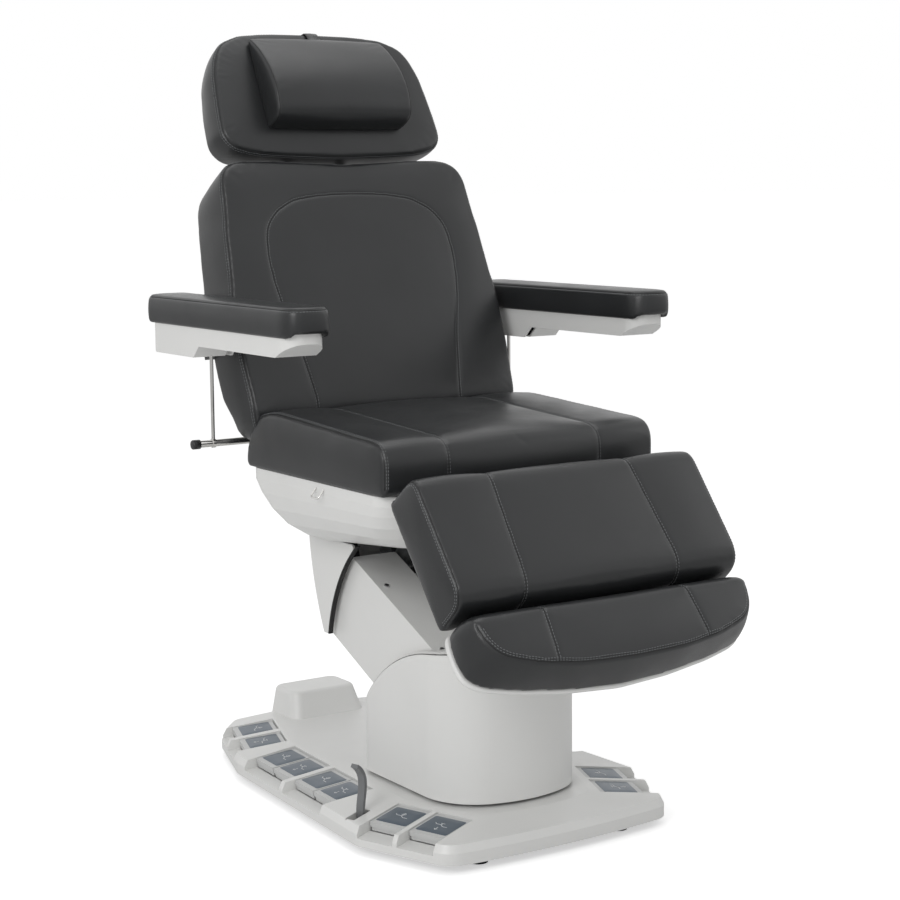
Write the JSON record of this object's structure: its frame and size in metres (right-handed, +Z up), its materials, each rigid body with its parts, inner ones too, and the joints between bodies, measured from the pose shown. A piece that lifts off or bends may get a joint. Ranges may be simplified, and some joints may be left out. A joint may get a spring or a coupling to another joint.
{
  "type": "electric beauty chair",
  "caption": "Electric treatment chair with a swivelling column, lift arm, reclining back, head rest, armrests, leg and foot rest and foot pedals.",
  "frame": {"origin": "on the floor, under the middle of the bounding box", "axes": "+Z up, -Y to the front where the foot rest is, +X to the left of a person who sits in the chair"},
  "size_m": [0.85, 1.1784, 1.5046],
  "materials": {
    "shell": "smooth semi-gloss moulded",
    "leatherette": "charcoal semi-gloss leatherette",
    "frame_steel": "powder coated",
    "bright_steel": "ground",
    "chrome": "polished",
    "drive_body": "satin",
    "black_plastic": "fine texture",
    "pedal_grey": "satin",
    "lever_grey": "satin",
    "rubber": "matte"
  },
  "bodies": {
    "base": {"base_frame": "frame_steel", "base_cover": "shell", "levelling_feet": "rubber", "swivel_bearing": "bright_steel", "control_box": "black_plastic", "power_inlet": "black_plastic", "pedal_rods": "bright_steel", "pedal_switches": "black_plastic"},
    "lock_lever": {"lock_lever": "lever_grey"},
    "pedal_left_1": {"pedal_left_1": "pedal_grey"},
    "pedal_right_1": {"pedal_right_1": "pedal_grey"},
    "pedal_left_2": {"pedal_left_2": "pedal_grey"},
    "pedal_right_2": {"pedal_right_2": "pedal_grey"},
    "pedal_left_3": {"pedal_left_3": "pedal_grey"},
    "pedal_right_3": {"pedal_right_3": "pedal_grey"},
    "pedal_left_4": {"pedal_left_4": "pedal_grey"},
    "pedal_right_4": {"pedal_right_4": "pedal_grey"},
    "pedal_left_5": {"pedal_left_5": "pedal_grey"},
    "pedal_right_5": {"pedal_right_5": "pedal_grey"},
    "pedal_left_6": {"pedal_left_6": "pedal_grey"},
    "pedal_right_6": {"pedal_right_6": "pedal_grey"},
    "pedal_left_7": {"pedal_left_7": "pedal_grey"},
    "pedal_right_7": {"pedal_right_7": "pedal_grey"},
    "pedal_left_8": {"pedal_left_8": "pedal_grey"},
    "pedal_right_8": {"pedal_right_8": "pedal_grey"},
    "column": {"column_frame": "frame_steel", "column_cover": "shell"},
    "lift_motor": {"lift_motor": "drive_body"},
    "lift_rod": {"lift_rod": "bright_steel"},
    "arm": {"lift_arm": "frame_steel", "lift_arm_cover": "shell", "arm_screws": "bright_steel"},
    "link": {"parallel_link": "frame_steel"},
    "carriage": {"carriage_frame": "frame_steel", "carriage_cover": "shell"},
    "tilt_motor": {"tilt_motor": "drive_body"},
    "tilt_rod": {"tilt_rod": "bright_steel"},
    "seat": {"seat_frame": "frame_steel", "seat_shell": "shell", "seat_pad": "leatherette", "seat_fittings": "chrome", "back_motor": "drive_body"},
    "back_rod": {"back_rod": "bright_steel"},
    "leg_motor": {"leg_motor": "drive_body"},
    "leg_rod": {"leg_rod": "bright_steel"},
    "back": {"back_frame": "frame_steel", "back_shell": "shell", "back_pad": "leatherette"},
    "head": {"head_frame": "frame_steel", "head_pad": "leatherette", "head_pillow": "leatherette"},
    "armrests": {"arm_shells": "shell", "arm_pads": "leatherette"},
    "armrest_links": {"arm_links": "chrome"},
    "leg": {"leg_frame": "frame_steel", "leg_shell": "shell", "leg_pad": "leatherette"},
    "foot": {"foot_frame": "frame_steel", "foot_shell": "shell", "foot_pad": "leatherette"}
  },
  "joints": [
    {"name": "lock_lever_swing", "type": "hinge", "parent": "base", "child": "lock_lever", "pos_m": [-0.27184, -0.12493, 0.03743], "axis": [0.3502, -0.9367, 0], "range_deg": [0, 20]},
    {"name": "pedal_left_1_press", "type": "hinge", "parent": "base", "child": "pedal_left_1", "pos_m": [-0.16484, -0.26194, 0.04767], "axis": [0.3502, -0.9367, 0], "range_deg": [0, 3], "stiffness_Nm_per_rad": 2, "springref_deg": -3.44},
    {"name": "pedal_right_1_press", "type": "hinge", "parent": "base", "child": "pedal_right_1", "pos_m": [0.16484, -0.26194, 0.04767], "axis": [0.3502, 0.9367, 0], "range_deg": [0, 3], "stiffness_Nm_per_rad": 2, "springref_deg": -3.44},
    {"name": "pedal_left_2_press", "type": "hinge", "parent": "base", "child": "pedal_left_2", "pos_m": [-0.19594, -0.17876, 0.04767], "axis": [0.3502, -0.9367, 0], "range_deg": [0, 3], "stiffness_Nm_per_rad": 2, "springref_deg": -3.44},
    {"name": "pedal_right_2_press", "type": "hinge", "parent": "base", "child": "pedal_right_2", "pos_m": [0.19594, -0.17876, 0.04767], "axis": [0.3502, 0.9367, 0], "range_deg": [0, 3], "stiffness_Nm_per_rad": 2, "springref_deg": -3.44},
    {"name": "pedal_left_3_press", "type": "hinge", "parent": "base", "child": "pedal_left_3", "pos_m": [-0.20091, 0.00024, 0.04767], "axis": [-0.0489, -0.9988, 0], "range_deg": [0, 3], "stiffness_Nm_per_rad": 2, "springref_deg": -3.44},
    {"name": "pedal_right_3_press", "type": "hinge", "parent": "base", "child": "pedal_right_3", "pos_m": [0.20091, 0.00024, 0.04767], "axis": [-0.0489, 0.9988, 0], "range_deg": [0, 3], "stiffness_Nm_per_rad": 2, "springref_deg": -3.44},
    {"name": "pedal_left_4_press", "type": "hinge", "parent": "base", "child": "pedal_left_4", "pos_m": [-0.19701, 0.07995, 0.04767], "axis": [-0.0489, -0.9988, 0], "range_deg": [0, 3], "stiffness_Nm_per_rad": 2, "springref_deg": -3.44},
    {"name": "pedal_right_4_press", "type": "hinge", "parent": "base", "child": "pedal_right_4", "pos_m": [0.19701, 0.07995, 0.04767], "axis": [-0.0489, 0.9988, 0], "range_deg": [0, 3], "stiffness_Nm_per_rad": 2, "springref_deg": -3.44},
    {"name": "pedal_left_5_press", "type": "hinge", "parent": "base", "child": "pedal_left_5", "pos_m": [-0.19242, 0.17384, 0.04767], "axis": [-0.0489, -0.9988, 0], "range_deg": [0, 3], "stiffness_Nm_per_rad": 2, "springref_deg": -3.44},
    {"name": "pedal_right_5_press", "type": "hinge", "parent": "base", "child": "pedal_right_5", "pos_m": [0.19242, 0.17384, 0.04767], "axis": [-0.0489, 0.9988, 0], "range_deg": [0, 3], "stiffness_Nm_per_rad": 2, "springref_deg": -3.44},
    {"name": "pedal_left_6_press", "type": "hinge", "parent": "base", "child": "pedal_left_6", "pos_m": [-0.18852, 0.25354, 0.04767], "axis": [-0.0489, -0.9988, 0], "range_deg": [0, 3], "stiffness_Nm_per_rad": 2, "springref_deg": -3.44},
    {"name": "pedal_right_6_press", "type": "hinge", "parent": "base", "child": "pedal_right_6", "pos_m": [0.18852, 0.25354, 0.04767], "axis": [-0.0489, 0.9988, 0], "range_deg": [0, 3], "stiffness_Nm_per_rad": 2, "springref_deg": -3.44},
    {"name": "pedal_left_7_press", "type": "hinge", "parent": "base", "child": "pedal_left_7", "pos_m": [-0.16802, 0.37284, 0.04767], "axis": [-0.3206, -0.9472, 0], "range_deg": [0, 3], "stiffness_Nm_per_rad": 2, "springref_deg": -3.44},
    {"name": "pedal_right_7_press", "type": "hinge", "parent": "base", "child": "pedal_right_7", "pos_m": [0.16802, 0.37284, 0.04767], "axis": [-0.3206, 0.9472, 0], "range_deg": [0, 3], "stiffness_Nm_per_rad": 2, "springref_deg": -3.44},
    {"name": "pedal_left_8_press", "type": "hinge", "parent": "base", "child": "pedal_left_8", "pos_m": [-0.1375, 0.46301, 0.04767], "axis": [-0.3206, -0.9472, 0], "range_deg": [0, 3], "stiffness_Nm_per_rad": 2, "springref_deg": -3.44},
    {"name": "pedal_right_8_press", "type": "hinge", "parent": "base", "child": "pedal_right_8", "pos_m": [0.1375, 0.46301, 0.04767], "axis": [-0.3206, 0.9472, 0], "range_deg": [0, 3], "stiffness_Nm_per_rad": 2, "springref_deg": -3.44},
    {"name": "swivel", "type": "hinge", "parent": "base", "child": "column", "pos_m": [0, -0.09683, 0.056], "axis": [0, 0, 1], "range_deg": [-120, 120]},
    {"name": "lift", "type": "hinge", "parent": "column", "child": "arm", "pos_m": [0, -0.10783, 0.258], "axis": [1, 0, 0], "range_deg": [-28, 27]},
    {"name": "link_swing", "type": "hinge", "parent": "column", "child": "link", "pos_m": [0, -0.06783, 0.22], "axis": [1, 0, 0], "range_deg": [-28, 27]},
    {"name": "carriage_level", "type": "hinge", "parent": "arm", "child": "carriage", "pos_m": [0, 0.12421, 0.36375], "axis": [1, 0, 0], "range_deg": [-27, 28]},
    {"name": "lift_motor_swing", "type": "hinge", "parent": "column", "child": "lift_motor", "pos_m": [0, -0.14783, 0.107], "axis": [1, 0, 0], "range_deg": [-15, 15]},
    {"name": "lift_rod_slide", "type": "slide", "parent": "lift_motor", "child": "lift_rod", "axis": [0, 0.6549, 0.7557], "range_m": [-0.036, 0.036]},
    {"name": "seat_tilt", "type": "hinge", "parent": "carriage", "child": "seat", "pos_m": [0, 0.23717, 0.515], "axis": [-1, 0, 0], "range_deg": [0, 15]},
    {"name": "tilt_motor_swing", "type": "hinge", "parent": "carriage", "child": "tilt_motor", "pos_m": [0, 0.19717, 0.415], "axis": [-1, 0, 0], "range_deg": [0, 13.5]},
    {"name": "tilt_rod_slide", "type": "slide", "parent": "tilt_motor", "child": "tilt_rod", "axis": [0, -0.724, 0.6898], "range_m": [0, 0.03]},
    {"name": "back_recline", "type": "hinge", "parent": "seat", "child": "back", "pos_m": [0, 0.30717, 0.655], "axis": [-1, 0, 0], "range_deg": [0, 70]},
    {"name": "back_rod_slide", "type": "slide", "parent": "seat", "child": "back_rod", "axis": [0, 0.9999, 0.0138], "range_m": [-0.092, 0]},
    {"name": "armrest_link_swing", "type": "hinge", "parent": "seat", "child": "armrest_links", "pos_m": [0, 0.28417, 0.697], "axis": [-1, 0, 0], "range_deg": [0, 70]},
    {"name": "armrest_level", "type": "hinge", "parent": "back", "child": "armrests", "pos_m": [0, 0.30717, 0.882], "axis": [-1, 0, 0], "range_deg": [-70, 0]},
    {"name": "head_tilt", "type": "hinge", "parent": "back", "child": "head", "pos_m": [0, 0.49417, 1.222], "axis": [-1, 0, 0], "range_deg": [-5, 35]},
    {"name": "leg_lift", "type": "hinge", "parent": "seat", "child": "leg", "pos_m": [0, -0.28283, 0.636], "axis": [-1, 0, 0], "range_deg": [0, 52]},
    {"name": "leg_motor_swing", "type": "hinge", "parent": "seat", "child": "leg_motor", "pos_m": [0, -0.06283, 0.588], "axis": [-1, 0, 0], "range_deg": [0, 17]},
    {"name": "leg_rod_slide", "type": "slide", "parent": "leg_motor", "child": "leg_rod", "axis": [0, -0.9725, -0.233], "range_m": [0, 0.072]},
    {"name": "foot_extension", "type": "slide", "parent": "leg", "child": "foot", "axis": [0, -0.6184, -0.7859], "range_m": [0, 0.15]}
  ],
  "couplings": [
    {"joint": "link_swing", "follows": "lift", "ratio": 1},
    {"joint": "carriage_level", "follows": "lift", "ratio": -1},
    {"joint": "lift_motor_swing", "follows": "lift", "ratio": 0.51739},
    {"joint": "lift_rod_slide", "follows": "lift", "m_per_rad": 0.068625},
    {"joint": "tilt_motor_swing", "follows": "seat_tilt", "ratio": 0.81692},
    {"joint": "tilt_rod_slide", "follows": "seat_tilt", "m_per_rad": 0.094909},
    {"joint": "back_rod_slide", "follows": "back_recline", "m_per_rad": -0.071352},
    {"joint": "armrest_link_swing", "follows": "back_recline", "ratio": 1},
    {"joint": "armrest_level", "follows": "back_recline", "ratio": -1},
    {"joint": "leg_motor_swing", "follows": "leg_lift", "ratio": 0.31877},
    {"joint": "leg_rod_slide", "follows": "leg_lift", "m_per_rad": 0.068652}
  ]
}
